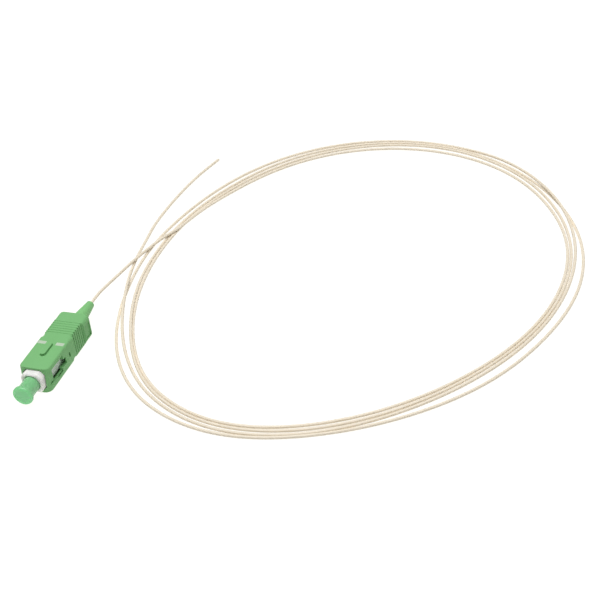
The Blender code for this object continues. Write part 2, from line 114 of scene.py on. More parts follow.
# The fibre: one glass fibre in a 0.9 mm ivory plastic buffer, extruded round it. It comes straight out of
# the boot, sinks to the table, lies in four loose turns and ends in a plain cut.
AXIS_HEIGHT = 3.7         # the plug's axis above the table
FIBRE_DIAMETER = 0.9
FIBRE_SIDES = 14
FIBRE_STEP = 2.0          # between two rings of the tube
FIBRE_LOW = 0.47          # its middle's height on the table
FIBRE_HIGH = 1.45         # and over another turn
GLASS_RADIUS = 0.0625
BUFFER_IVORY = (0.810, 0.720, 0.575)
BUFFER_CREAM = (0.825, 0.740, 0.605)
BUFFER_GLASS = (0.300, 0.330, 0.340)     # the glass that the cut end shows
FROM_BOOT = [
    (0.0, 19.0, AXIS_HEIGHT), (0.0, 21.65, AXIS_HEIGHT), (0.0, 26.0, 3.6), (0.4, 33.0, 2.95),
    (1.1, 40.5, 2.25), (2.4, 49.0, 1.85), (3.8, 55.7, FIBRE_HIGH), (6.2, 62.6, FIBRE_HIGH),
    (8.8, 68.8, FIBRE_HIGH), (11.1, 77.1, 1.15),
]
LOOP_CENTRE = (66.9, 56.75)
LOOP_START = 140          # degrees, counted from the positive x axis
LOOP_STEP = 20            # degrees clockwise
# Distance from the loop's middle at each step
FIRST_TURN = [62.4, 68.0, 73.3, 75.9, 74.9, 71.1, 67.4, 63.9, 61.9,
              61.9, 64.7, 69.9, 74.6, 72.8, 66.3, 61.4, 59.5]
SECOND_TURN = [60.6, 64.0, 69.8, 75.6, 78.6, 77.0, 72.7, 68.5, 64.9,
               62.9, 63.0, 66.1, 71.5, 75.8, 73.9, 66.9, 62.2, 60.6]
THIRD_TURN = [61.7, 65.5, 71.8, 77.2, 79.8, 78.0, 74.8, 71.8, 68.9,
              66.9, 67.5, 69.7, 74.0, 78.8, 77.8, 71.3, 65.4, 63.2]
FOURTH_TURN = [63.7, 67.8, 73.9, 78.9, 81.0, 79.1, 74.5, 69.8, 65.9,
               64.0, 64.3, 67.4, 73.0, 77.3, 75.2, 69.3, 65.5, 66.3]
# Heights where a turn passes over an earlier one, by its place in the row of all the turns' points
OVER = {31: 0.75, 32: 1.35, 33: 1.0, 58: 1.3, 59: FIBRE_HIGH, 60: 0.9, 68: 1.1, 69: FIBRE_HIGH}
TO_CUT_END = [(0.2, 61.0), (-0.5, 67.9), (-0.6, 78.0), (0.4, 91.4), (2.2, 103.1)]
CUT_END = (5.1, 114.5, FIBRE_LOW)


class Wire:
    """A socket in a shader's node tree. Arithmetic on it adds Math nodes, and node() adds any other node."""

    def __init__(self, socket):
        self.socket = socket

    def node(self, kind, settings=None, inputs=None, output=0):
        """Adds a node: first its settings, then its sockets' values or links. Gives one of its outputs."""
        tree = self.socket.id_data
        made = tree.nodes.new(kind)
        for name, value in (settings or {}).items():
            setattr(made, name, value)
        for name, value in (inputs or {}).items():
            if isinstance(value, Wire):
                tree.links.new(value.socket, made.inputs[name])
            else:
                made.inputs[name].default_value = value
        return Wire(made.outputs[output])

    def maths(self, operation, first, second=0.0):
        return self.node("ShaderNodeMath", {"operation": operation}, {0: first, 1: second})

    def __add__(self, other):
        return self.maths("ADD", self, other)

    def __sub__(self, other):
        return self.maths("SUBTRACT", self, other)

    def __rsub__(self, other):
        return self.maths("SUBTRACT", other, self)

    def __mul__(self, other):
        return self.maths("MULTIPLY", self, other)

    def __lt__(self, other):
        return self.maths("LESS_THAN", self, other)

    def __gt__(self, other):
        return self.maths("GREATER_THAN", self, other)

    def __abs__(self):
        return self.maths("ABSOLUTE", self)

    __radd__ = __add__
    __rmul__ = __mul__

    def sine(self):
        return self.maths("SINE", self)

    def noise(self, scale, detail=2.0, roughness=0.5):
        """Cloudy noise from 0 to 1; the wire is a place in millimetres, and scale is lumps a millimetre."""
        return self.node("ShaderNodeTexNoise", {}, {
            "Vector": self, "Scale": scale, "Detail": detail, "Roughness": roughness})

    def ramp(self, low, high):
        """Stretches the numbers between low and high to 0 and 1, and cuts off what lies outside."""
        return self.node("ShaderNodeMapRange", {}, {"Value": self, "From Min": low, "From Max": high})

    def blend(self, first, second):
        """Mixes two colours by this wire: the first at 0, the second at 1."""
        colours = [c if isinstance(c, Wire) else (*c, 1.0) for c in (first, second)]
        return self.node("ShaderNodeMix", {"data_type": "RGBA"}, {
            "Factor": self, 6: colours[0], 7: colours[1]}, output=2)

    def bump(self, height):
        """A normal that follows this wire as a relief of a height in millimetres."""
        return self.node("ShaderNodeBump", {}, {
            "Height": self, "Strength": 1.0, "Distance": height * 0.001})


class Finish:
    """A new material: its shader's sockets, and the place on the piece in millimetres as a wire."""

    def __init__(self, name, metallic=0.0, coat=0.0):
        self.material = bpy.data.materials.new(name)
        self.material.use_nodes = True
        tree = self.material.node_tree
        self.shader = tree.nodes["Principled BSDF"]
        self.set(Metallic=metallic, Coat_Weight=coat)
        metres = Wire(tree.nodes.new("ShaderNodeTexCoord").outputs["Object"])
        self.place = metres.node("ShaderNodeVectorMath", {"operation": "SCALE"}, {0: metres, "Scale": 1000.0})

    def set(self, **sockets):
        """Sets or links the shader's sockets; an underscore stands for the space in a socket's name."""
        for name, value in sockets.items():
            socket = self.shader.inputs[name.replace("_", " ")]
            if isinstance(value, Wire):
                self.material.node_tree.links.new(value.socket, socket)
            else:
                socket.default_value = value

    def axis(self, number):
        """One of the three coordinates of the place, in millimetres."""
        return self.place.node("ShaderNodeSeparateXYZ", {}, {0: self.place}, output=number)

    def distance(self, point):
        """The distance in millimetres from a point of the part."""
        return self.place.node("ShaderNodeVectorMath", {"operation": "DISTANCE"}, {
            0: self.place, 1: point}, output=1)


class Tree:
    """A Geometry Nodes tree with named inputs, run once on a mesh object."""

    def __init__(self, name, **sizes):
        self.group = bpy.data.node_groups.new(name, "GeometryNodeTree")
        self.group.interface.new_socket("Geometry", in_out="INPUT", socket_type="NodeSocketGeometry")
        self.group.interface.new_socket("Geometry", in_out="OUTPUT", socket_type="NodeSocketGeometry")
        self.sizes = {}
        for label, value in sizes.items():
            kind = {int: "NodeSocketInt", float: "NodeSocketFloat"}.get(type(value), "NodeSocketObject")
            socket = self.group.interface.new_socket(label, in_out="INPUT", socket_type=kind)
            self.sizes[socket.identifier] = value
        self.start = self.group.nodes.new("NodeGroupInput").outputs

    def fill(self, socket, value):
        """Links a node's socket to another node's output, or sets it to a value."""
        if isinstance(value, bpy.types.NodeSocket):
            self.group.links.new(value, socket)
        else:
            socket.default_value = value

    def add(self, kind, settings=None, **inputs):
        """Adds a node with its settings and its sockets' values or links, and gives its outputs."""
        made = self.group.nodes.new(kind)
        for name, value in (settings or {}).items():
            setattr(made, name, value)
        for name, value in inputs.items():
            self.fill(made.inputs[name.replace("_", " ")], value)
        return made.outputs

    def maths(self, operation, first, second=0.0):
        """Adds a Math node on two numbers or outputs, and gives its output."""
        made = self.group.nodes.new("ShaderNodeMath")
        made.operation = operation
        self.fill(made.inputs[0], first)
        self.fill(made.inputs[1], second)
        return made.outputs[0]

    def run(self, thing, geometry, material):
        """Ends the tree, runs it on the object and leaves its result there as a plain mesh."""
        real = self.add("GeometryNodeRealizeInstances", Geometry=geometry)
        painted = self.add("GeometryNodeSetMaterial", Geometry=real[0], Material=material)
        end = self.group.nodes.new("NodeGroupOutput")
        self.group.links.new(painted[0], end.inputs[0])
        modifier = thing.modifiers.new("tree", "NODES")
        modifier.node_group = self.group
        for identifier, value in self.sizes.items():
            modifier[identifier] = value
        settle(thing)


def settle(thing):
    """Puts the result of an object's modifiers into its mesh, and removes them and their cutting tools."""
    bpy.context.view_layer.update()
    shown = thing.evaluated_get(bpy.context.evaluated_depsgraph_get())
    mesh = bpy.data.meshes.new_from_object(shown)
    tools = [modifier.object for modifier in thing.modifiers if modifier.type == "BOOLEAN"]
    thing.modifiers.clear()
    thing.data = mesh
    for tool in tools:
        bpy.data.objects.remove(tool, do_unlink=True)


def shade(thing, sharp):
    """Shades an object smooth, apart from edges where its faces turn by more than an angle in degrees."""
    thing.data.shade_smooth()
    thing.data.set_sharp_from_angle(angle=math.radians(sharp))


def smooth_line(points, step):
    """Places in metres, about a step apart, on one smooth curve through points in millimetres.

    The curve's heights never go past those of the points.
    """
    points = np.array(points)
    spans = np.linalg.norm(np.diff(points, axis=0), axis=1)
    slopes = np.diff(points, axis=0) / spans[:, None]
    count = len(points)
    weights = np.zeros((count, count))
    sums = np.zeros((count, 3))
    weights[0, :2] = (2, 1)
    weights[-1, -2:] = (1, 2)
    sums[0] = 3 * slopes[0]
    sums[-1] = 3 * slopes[-1]
    for i in range(1, count - 1):
        before, after = spans[i - 1], spans[i]
        weights[i, i - 1:i + 2] = (after, 2 * (before + after), before)
        sums[i] = 3 * (after * slopes[i - 1] + before * slopes[i])
    turns = np.linalg.solve(weights, sums)
    turns[:, 2] = 0.0
    for i in range(1, count - 1):
        rise, fall = slopes[i - 1, 2], slopes[i, 2]
        if rise * fall > 0:
            turns[i, 2] = 2 * rise * fall / (rise + fall)
    line = []
    for i, span in enumerate(spans):
        pieces = max(1, round(span / step))
        for k in range(pieces):
            t = k / pieces
            line.append((2 * t**3 - 3 * t**2 + 1) * points[i] + (t**3 - 2 * t**2 + t) * span * turns[i]
                        + (3 * t**2 - 2 * t**3) * points[i + 1] + (t**3 - t**2) * span * turns[i + 1])
    line.append(points[-1])
    return [Vector(place) * 0.001 for place in line]


route = list(FROM_BOOT)
for number, distance in enumerate(FIRST_TURN + SECOND_TURN + THIRD_TURN + FOURTH_TURN):
    angle = math.radians(LOOP_START - LOOP_STEP * number)
    route.append((LOOP_CENTRE[0] + distance * math.cos(angle),
                  LOOP_CENTRE[1] + distance * math.sin(angle), OVER.get(number, FIBRE_LOW)))
route += [(x, y, FIBRE_LOW) for x, y in TO_CUT_END] + [CUT_END]
fibre_line = smooth_line(route, FIBRE_STEP)

buffer = Finish("ivory_buffer")
streaks = buffer.place.noise(0.22, detail=3.0)
specks = buffer.place.noise(9.0)
glass = buffer.distance(CUT_END) < GLASS_RADIUS
tone = streaks.ramp(0.35, 0.65).blend(BUFFER_IVORY, BUFFER_CREAM)
buffer.set(Base_Color=glass.blend(tone, BUFFER_GLASS),
           Roughness=0.36 + 0.16 * specks, Normal=specks.bump(0.0012))

fibre_mesh = bpy.data.meshes.new("fibre_strand")
fibre_mesh.from_pydata(fibre_line, [(i, i + 1) for i in range(len(fibre_line) - 1)], [])
fibre_strand = bpy.data.objects.new("fibre_strand", fibre_mesh)
bpy.context.collection.objects.link(fibre_strand)
tube = Tree("fibre_tube", Radius=FIBRE_DIAMETER / 2000, Sides=FIBRE_SIDES)
tube_line = tube.add("GeometryNodeMeshToCurve", Mesh=tube.start["Geometry"])
tube_ring = tube.add("GeometryNodeCurvePrimitiveCircle",
                     Resolution=tube.start["Sides"], Radius=tube.start["Radius"])
tube_skin = tube.add("GeometryNodeCurveToMesh",
                     Curve=tube_line[0], Profile_Curve=tube_ring[0], Fill_Caps=True)
tube.run(fibre_strand, tube_skin[0], buffer.material)
shade(fibre_strand, 50)
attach(fibre_strand, "plug")
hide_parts("fibre")


# The grip: the green sleeve that is pulled to free the plug, moulded in one piece from hard plastic. It has
# a key and two painted marks on top, ribs for the fingers, and an open channel along each side.
PLUG_MIDDLE = 13.75       # the part's origin, counted from the front of the grip
GRIP_WIDTH = 9.0
GRIP_HEIGHT = 7.4
GRIP_LENGTH = 25.4
GRIP_CORNER = 0.55
GRIP_FRONT_RADIUS = 1.6
GRIP_LEAN = 0.9           # how far the lower front edge stands out in front of the upper one
GRIP_BORE = (6.7, 6.3, 20.0)          # its width, height and rear end
GRIP_BORE_CHAMFER = 1.2
GRIP_HOLE = 5.4           # across the round hole behind the bore
SHOULDER = (13.2, 13.9, 1.3)          # where the corners grow round, and how round
WAIST_START = 15.3
WAIST_DEPTH = 0.3
WAIST_RAMP = 0.2
WAIST_CORNER = 0.25
FLANGE_LENGTH = 4.0
FLANGE_WIDTH = 9.3
FLANGE_CORNER = 1.3
FLANGE_REAR_ROUND = 0.45
RIB_FIRST = 15.9
RIB_COUNT = 6
RIB_PITCH = 1.01
RIB_MOUTH = 0.36          # half the width of a groove between two ribs
RIB_FACE_MOUTH = 0.5      # how wide a groove is across a wide face, as a share of that
RIB_FLOOR = 0.1
RIB_DEPTH = 0.42
RIB_FACE_DEPTH = 0.12
RIB_CLEAR = -0.0001       # a groove's edges lie a hair outside the waist, as a share of its depth
CHANNEL = (9.7, -1.3, 2.3)            # its rear end, its lower and its upper edge
CHANNEL_FLOOR = 4.1
CHANNEL_NARROW = (8.3, 0.85)          # behind this its upper edge is lower, at this height
SILL = (7.15, -1.75)                  # in front of this the channel goes further down, to this height
SILL_GAP = (3.7, -2.9)                # between the sill and the plug frame: its outer side and its depth
SILL_SLIT = (0.6, -1.4)               # the gap goes on in front of the window as a slit
SILL_GROOVE = (4.1, 4.1, 4.28, -2.8)  # its front end, its two sides and its floor
SILL_LIP = -2.3                       # the height of the lip outside the groove
WINDOW = (2.3, 1.9)                   # its front end and its upper edge
WINDOW_NOTCH = (7.25, 7.95, 2.3)      # a notch in the window's upper edge
RECESS = (21.9, 24.7, 1.2, 5.6, 0.3)  # in the flange's side: its ends, its heights over the table, its depth
HOOK_SLOT = (9.5, 12.0, -1.5, 1.1, 4.05)  # inside the wall: its ends, its edges, its outer side
DIMPLE = (11.9, 3.45, 0.4, 0.9, 0.55)     # its place, its height over the table, two half axes, its depth
DIMPLE_SIDES = 20
KEY = (1.7, 5.4, 10.5, 0.7)           # its width, its ends and its height
KEY_ROOT = 0.2            # how far it reaches into the grip
CUT_OVERLAP = 0.3         # how far one cut runs into the next
CUT_TOUCH = 0.1           # and where there is little room
CUT_BEYOND = 1.0          # how far a cut starts outside the piece
CUT_BEFORE = -2.0         # where a cut starts that is open at the front
MOULD_EDGE = 0.09
PLUG_GREEN = (0.204, 0.478, 0.196)
PLUG_GREEN_DEEP = (0.196, 0.464, 0.186)
PLUG_SHINE = 0.1
MARKS = ((-2.85, 1.25), (2.7, 1.2))   # the middle of each painted mark, and half its width
MARK_SPAN = (10.45, 11.7)
MARK_PAINT = (0.480, 0.580, 0.450)
CORNER_STEPS = 5


def piece(name, shape, finish=None):
    """Makes an object from a bmesh drawn in the plug's own millimetres."""
    bmesh.ops.remove_doubles(shape, verts=shape.verts, dist=1e-5)
    bmesh.ops.recalc_face_normals(shape, faces=shape.faces)
    for vertex in shape.verts:
        x, y, z = vertex.co
        vertex.co = (x * 0.001, (y - PLUG_MIDDLE) * 0.001, (z + AXIS_HEIGHT) * 0.001)
    mesh = bpy.data.meshes.new(name)
    shape.to_mesh(mesh)
    shape.free()
    if finish:
        mesh.materials.append(finish.material)
    thing = bpy.data.objects.new(name, mesh)
    bpy.context.collection.objects.link(thing)
    return thing


def corner_ring(half_width, half_height, corner, fullness, y):
    """Points round a rectangle; its corners run from a flat chamfer, at fullness 0, to a true round, at 1."""
    ring = []
    for side_x, side_z, turn in ((1, -1, -90), (1, 1, 0), (-1, 1, 90), (-1, -1, 180)):
        start = Vector((math.cos(math.radians(turn)), math.sin(math.radians(turn))))
        end = Vector((math.cos(math.radians(turn + 90)), math.sin(math.radians(turn + 90))))
        for i in range(CORNER_STEPS + 1):
            angle = math.radians(turn + 90 / CORNER_STEPS * i)
            share = i / CORNER_STEPS
            flat = start * (1 - share) + end * share
            round_point = Vector((math.cos(angle), math.sin(angle)))
            out = (flat * (1 - fullness) + round_point * fullness) * corner
            ring.append((side_x * (half_width - corner) + out.x, y, side_z * (half_height - corner) + out.y))
    return ring


def loft(name, rings, finish=None, closed=False):
    """A solid through rings of points; a closed loft joins its last ring to its first."""
    shape = bmesh.new()
    made = [[shape.verts.new(point) for point in ring] for ring in rings]
    pairs = list(zip(made, made[1:]))
    if closed:
        pairs.append((made[-1], made[0]))
    else:
        shape.faces.new(made[0])
        shape.faces.new(made[-1])
    for ring, following in pairs:
        for i in range(len(ring)):
            j = (i + 1) % len(ring)
            shape.faces.new((ring[i], ring[j], following[j], following[i]))
    return piece(name, shape, finish)


def block(name, low, high):
    """A box between two corners."""
    shape = bmesh.new()
    bmesh.ops.create_cube(shape, size=1.0)
    for vertex in shape.verts:
        vertex.co = [high[i] if vertex.co[i] > 0 else low[i] for i in range(3)]
    return piece(name, shape)


def turned(name, outline, finish=None, sides=72):
    """A solid of revolution from a closed outline of (radius, y)."""
    shape = bmesh.new()
    rings = []
    for radius, y in outline:
        if radius == 0:
            rings.append([shape.verts.new((0, y, 0))] * sides)
        else:
            angles = [math.tau * i / sides for i in range(sides)]
            rings.append([shape.verts.new((radius * math.cos(a), y, radius * math.sin(a))) for a in angles])
    for ring, following in zip(rings, rings[1:] + rings[:1]):
        for i in range(sides):
            j = (i + 1) % sides
            corners = dict.fromkeys((ring[i], ring[j], following[j], following[i]))
            if len(corners) > 2:
                shape.faces.new(list(corners))
    made = piece(name, shape, finish)
    shade(made, 32)
    return made


def change(target, tool, operation="DIFFERENCE"):
    """Cuts a tool out of the target, or joins it on; settle() then finishes the work."""
    modifier = target.modifiers.new(tool.name, "BOOLEAN")
    modifier.operation = operation
    modifier.solver = "EXACT"
    modifier.object = tool
    tool.hide_render = True


def cut_both_sides(target, low, high):
    """Cuts a box, given on the side of positive x, out of both sides of the target."""
    change(target, block("right_tool", low, high))
    change(target, block("left_tool", (-high[0], low[1], low[2]), (-low[0], high[1], high[2])))


def soften(thing, width, limit=28):
    """Gives a cut solid the small rounds that moulded edges have, where it turns by more than a limit."""
    shape = bmesh.new()
    shape.from_mesh(thing.data)
    bmesh.ops.remove_doubles(shape, verts=shape.verts, dist=2e-6)
    bmesh.ops.dissolve_limit(shape, angle_limit=math.radians(1), verts=shape.verts, edges=shape.edges)
    shape.to_mesh(thing.data)
    shape.free()
    thing.data.shade_smooth()
    rounds = thing.modifiers.new("rounds", "BEVEL")
    rounds.width = width * 0.001
    rounds.segments = 2
    rounds.limit_method = "ANGLE"
    rounds.angle_limit = math.radians(limit)
    rounds.miter_outer = "MITER_ARC"
    rounds.harden_normals = True
    settle(thing)


def moulded(name, colour, deep, roughness, grain=0.004):
    """Moulded plastic: slow drifts of tone, a fine grain, and flow marks that change its gloss a little."""
    plastic = Finish(name)
    drift = plastic.place.noise(0.18)
    pores = plastic.place.noise(11.0, roughness=0.6)
    flow = plastic.place.noise(0.9, detail=3.0)
    plastic.colour = drift.ramp(0.3, 0.7).blend(deep, colour)
    plastic.set(Base_Color=plastic.colour,
                Roughness=(roughness - 0.06) + 0.12 * flow,
                Normal=(pores + 0.6 * flow).bump(grain))
    return plastic


plug_plastic = moulded("green_plug_plastic", PLUG_GREEN, PLUG_GREEN_DEEP, 0.45)
across, along, height = (plug_plastic.axis(i) for i in range(3))
edge_wander = 0.05 * plug_plastic.place.noise(4.0)
mark_half = (MARK_SPAN[1] - MARK_SPAN[0]) / 2
mark_middle = sum(MARK_SPAN) / 2 - PLUG_MIDDLE
painted = sum(((half + edge_wander) - abs(across - middle)).ramp(0.0, 0.05) for middle, half in MARKS)
painted = painted * (mark_half - abs(along - mark_middle)).ramp(-0.02, 0.03)
painted = painted * (height > GRIP_HEIGHT - 0.1)
plug_plastic.set(Base_Color=painted.blend(plug_plastic.colour, MARK_PAINT), Specular_IOR_Level=PLUG_SHINE)

half_width = GRIP_WIDTH / 2
half_height = GRIP_HEIGHT / 2
waist = half_width - WAIST_DEPTH
flange = FLANGE_WIDTH / 2
flange_start = GRIP_LENGTH - FLANGE_LENGTH
shoulder_start, shoulder_full, shoulder_corner = SHOULDER
rings = []
for degrees in range(0, 91, 15):
    inset = GRIP_FRONT_RADIUS * (1 - math.sin(math.radians(degrees)))
    y = GRIP_FRONT_RADIUS * (1 - math.cos(math.radians(degrees)))
    ring = corner_ring(half_width - inset, half_height, GRIP_CORNER, 1, y)
    rings.append([(x, y - GRIP_LEAN * (0.5 - z / GRIP_HEIGHT), z) for x, y, z in ring])
rings += [
    corner_ring(half_width, half_height, GRIP_CORNER, 1, shoulder_start),
    corner_ring(half_width, half_height, shoulder_corner, 1, shoulder_full),
    corner_ring(half_width, half_height, shoulder_corner, 1, WAIST_START),
    corner_ring(waist, half_height, WAIST_CORNER, 1, WAIST_START + WAIST_RAMP),
    corner_ring(waist, half_height, WAIST_CORNER, 1, flange_start),
    corner_ring(flange, half_height, FLANGE_CORNER, 1, flange_start + WAIST_RAMP),
]
for degrees in range(0, 91, 18):
    inset = FLANGE_REAR_ROUND * (1 - math.cos(math.radians(degrees)))
    y = GRIP_LENGTH - FLANGE_REAR_ROUND * (1 - math.sin(math.radians(degrees)))
    rings.append(corner_ring(flange - inset, half_height, FLANGE_CORNER, 1, y))
grip_shell = loft("grip_shell", rings)

key_width, key_front, key_rear, key_height = KEY
key_outline = [(key_width / 2, key_rear), (-key_width / 2, key_rear)]
for degrees in range(180, 361, 15):
    angle = math.radians(degrees)
    key_outline.append((key_width / 2 * math.cos(angle), key_front + key_width / 2 * (1 + math.sin(angle))))
key_ends = (half_height - KEY_ROOT, half_height + key_height)
change(grip_shell, loft("key_tool", [[(x, y, z) for x, y in key_outline] for z in key_ends]), "UNION")

bore_width, bore_height, bore_end = GRIP_BORE
hole_start = bore_end - CUT_BEYOND
hole_end = GRIP_LENGTH + CUT_BEYOND
change(grip_shell, loft("bore_tool", [
    corner_ring(bore_width / 2, bore_height / 2, GRIP_BORE_CHAMFER, 0, y) for y in (CUT_BEFORE, bore_end)]))
change(grip_shell, turned("rear_hole_tool", [
    (0, hole_start), (GRIP_HOLE / 2, hole_start), (GRIP_HOLE / 2, hole_end), (0, hole_end)]))
channel_rear, channel_low, channel_high = CHANNEL
sill_rear, sill_low = SILL
narrow_start, narrow_high = CHANNEL_NARROW
gap_side, gap_low = SILL_GAP
slit_front, slit_high = SILL_SLIT
groove_front, groove_inner, groove_outer, groove_low = SILL_GROOVE
notch_start, notch_end, notch_top = WINDOW_NOTCH
window_front, window_high = WINDOW
inside = bore_width / 2 - CUT_OVERLAP
outside = half_width + CUT_BEYOND
# The channel's three heights, the slit, and the groove with its lip; then, through the wall, the window,
# its notch, its lower rear part, its foot down to the sill, and the gap beside the sill
for low, high in (
    ((CHANNEL_FLOOR, CUT_BEFORE, channel_low), (outside, narrow_start, channel_high)),
    ((CHANNEL_FLOOR, narrow_start - CUT_TOUCH, channel_low), (outside, channel_rear, narrow_high)),
    ((CHANNEL_FLOOR, CUT_BEFORE, sill_low), (outside, sill_rear, channel_low + CUT_OVERLAP)),
    ((gap_side, slit_front, sill_low), (outside, window_front + CUT_TOUCH, slit_high)),
    ((groove_inner, groove_front, groove_low), (groove_outer, sill_rear, sill_low + CUT_OVERLAP)),
    ((groove_outer - CUT_TOUCH / 2, groove_front, SILL_LIP), (outside, sill_rear, sill_low + CUT_OVERLAP)),
    ((inside, window_front, channel_low), (outside, narrow_start, window_high)),
    ((inside, notch_start, window_high - CUT_OVERLAP), (outside, notch_end, notch_top)),
    ((inside, narrow_start - CUT_TOUCH, channel_low), (outside, channel_rear, narrow_high)),
    ((inside, window_front, sill_low), (outside, sill_rear, channel_low + CUT_OVERLAP)),
    ((inside, window_front, gap_low), (gap_side, sill_rear, channel_low + CUT_OVERLAP)),
):
    cut_both_sides(grip_shell, low, high)
recess_front, recess_rear, recess_low, recess_high, recess_depth = RECESS
cut_both_sides(grip_shell, (flange - recess_depth, recess_front, recess_low - AXIS_HEIGHT),
               (flange + CUT_BEYOND, recess_rear, recess_high - AXIS_HEIGHT))
slot_front, slot_rear, slot_low, slot_high, slot_side = HOOK_SLOT
cut_both_sides(grip_shell, (inside, slot_front, slot_low), (slot_side, slot_rear, slot_high))
dimple_y, dimple_z, dimple_half, dimple_rise, dimple_depth = DIMPLE
for side in (1, -1):
    change(grip_shell, loft("dimple_tool", [
        [(side * x, dimple_y + dimple_half * math.cos(a), dimple_z - AXIS_HEIGHT + dimple_rise * math.sin(a))
         for a in (math.tau * i / DIMPLE_SIDES for i in range(DIMPLE_SIDES))]
        for x in (half_width - dimple_depth, outside)]))
settle(grip_shell)

# Each groove between two ribs is a ring-shaped bite, repeated along the waist
groove_rings = []
wide_face = half_height - WAIST_CORNER
for y, depth in ((-RIB_MOUTH, RIB_CLEAR), (-RIB_FLOOR, 1.0), (RIB_FLOOR, 1.0), (RIB_MOUTH, RIB_CLEAR)):
    ring = corner_ring(waist - RIB_DEPTH * depth, half_height - RIB_FACE_DEPTH * depth, WAIST_CORNER, 1, y)
    groove_rings.append([(x, y * RIB_FACE_MOUTH if abs(z) > wide_face else y, z) for x, y, z in ring])
for y in (RIB_MOUTH, -RIB_MOUTH):
    groove_rings.append(corner_ring(outside, half_height + CUT_BEYOND, GRIP_CORNER, 1, y))
groove = loft("groove_tool", groove_rings, closed=True)
ribs = Tree("grip_ribs", Count=RIB_COUNT, First=RIB_FIRST / 1000, Pitch=RIB_PITCH / 1000, Groove=groove)
row_start = ribs.add("ShaderNodeCombineXYZ", Y=ribs.start["First"])
row_step = ribs.add("ShaderNodeCombineXYZ", Y=ribs.start["Pitch"])
row = ribs.add("GeometryNodeMeshLine",
               Count=ribs.start["Count"], Start_Location=row_start[0], Offset=row_step[0])
bite = ribs.add("GeometryNodeObjectInfo", Object=ribs.start["Groove"])
bites = ribs.add("GeometryNodeInstanceOnPoints", Points=row[0], Instance=bite["Geometry"])
bites = ribs.add("GeometryNodeRealizeInstances", Geometry=bites[0])
ribbed = ribs.add("GeometryNodeMeshBoolean", {"operation": "DIFFERENCE", "solver": "EXACT"},
                  Mesh_1=ribs.start["Geometry"], Mesh_2=bites[0])
ribs.run(grip_shell, ribbed[0], plug_plastic.material)
bpy.data.objects.remove(groove, do_unlink=True)
soften(grip_shell, MOULD_EDGE)
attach(grip_shell, "sleeve")
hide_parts("grip")


# The plug frame: the inner body that the grip slides on, moulded from white plastic. Its round mouth takes
# the adapter's sleeve, and a notch in each side is where the adapter's hooks hold it.
FRAME_FRONT = -2.1
FRAME_REAR = 17.0
FRAME_HALVES = (3.15, 2.95)           # half its width and half its height
FRAME_CHAMFER = 1.2
FRAME_FULLNESS = 0.25                 # how far its corners go from a chamfer towards a round
FRAME_LEAD_IN = 0.3
FRAME_MOUTH = 2.5
FRAME_WALL = (4.7, 5.7)
FRAME_WALL_HOLE = 1.5
FRAME_REAR_BORE = 2.45
FRAME_EDGE = 0.12
HOOK_NOTCH = (8.9, 10.3, -0.9, 1.7, 0.35)  # its ends, its lower and its upper edge, its depth
FRAME_WHITE = (0.915, 0.885, 0.865)
FRAME_WHITE_DEEP = (0.895, 0.865, 0.845)
FRAME_PAINTED_BOUNCE = (0.680, 0.810, 0.700)  # painted reflection: the green light that the grip bounces onto what lies inside it
FRAME_PAINTED_BOUNCE_SPAN = (1.6, 2.4)             # where the painted green reflection begins, and from where it is full

frame_plastic = moulded("white_frame_plastic", FRAME_WHITE, FRAME_WHITE_DEEP, 0.4)
# Painted reflection: the frame is painted greener where it lies inside the grip, standing in for green light
# bounced off the grip
painted_bounce = (frame_plastic.axis(1) + PLUG_MIDDLE).ramp(*FRAME_PAINTED_BOUNCE_SPAN)
frame_plastic.set(Base_Color=painted_bounce.blend(frame_plastic.colour, FRAME_PAINTED_BOUNCE),
                  Subsurface_Weight=0.5, Subsurface_Scale=0.002, Subsurface_Radius=(1.0, 0.95, 0.9))
frame_wide, frame_high = FRAME_HALVES
plug_body = loft("plug_body", [
    corner_ring(frame_wide - FRAME_LEAD_IN, frame_high - FRAME_LEAD_IN, FRAME_CHAMFER, FRAME_FULLNESS,
                FRAME_FRONT),
    corner_ring(frame_wide, frame_high, FRAME_CHAMFER, FRAME_FULLNESS, FRAME_FRONT + FRAME_LEAD_IN),
    corner_ring(frame_wide, frame_high, FRAME_CHAMFER, FRAME_FULLNESS, FRAME_REAR),
], frame_plastic)
wall_front, wall_rear = FRAME_WALL
mouth_start = FRAME_FRONT - CUT_BEYOND
rear_bore_end = FRAME_REAR + CUT_BEYOND
change(plug_body, turned("frame_bore_tool", [
    (0, mouth_start), (FRAME_MOUTH, mouth_start), (FRAME_MOUTH, wall_front), (FRAME_WALL_HOLE, wall_front),
    (FRAME_WALL_HOLE, wall_rear), (FRAME_REAR_BORE, wall_rear), (FRAME_REAR_BORE, rear_bore_end),
    (0, rear_bore_end)]))
notch_front, notch_rear, notch_low, notch_high, notch_depth = HOOK_NOTCH
cut_both_sides(plug_body, (frame_wide - notch_depth, notch_front, notch_low),
               (frame_wide + CUT_BEYOND, notch_rear, notch_high))
settle(plug_body)
soften(plug_body, FRAME_EDGE, limit=24)
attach(plug_body, "plug")
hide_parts("plug_frame")


# The ferrule: a ground zirconia rod with the glass fibre glued into its middle. Its end is polished at a
# slope of eight degrees, and it floats back against the spring when two plugs meet.
FERRULE_TIP = -2.5
FERRULE_LENGTH = 10.7
FERRULE_RADIUS = 1.25
FERRULE_CONE = (0.95, 0.9)            # its radius at the tip, and its length
FERRULE_SLOPE = 8.0
FERRULE_TIP_ZONE = 0.3                # how far back the polished, sloping end reaches
ZIRCONIA = (0.800, 0.790, 0.750)
ZIRCONIA_WARM = (0.780, 0.760, 0.705)
CORE_GLASS = (0.250, 0.290, 0.310)

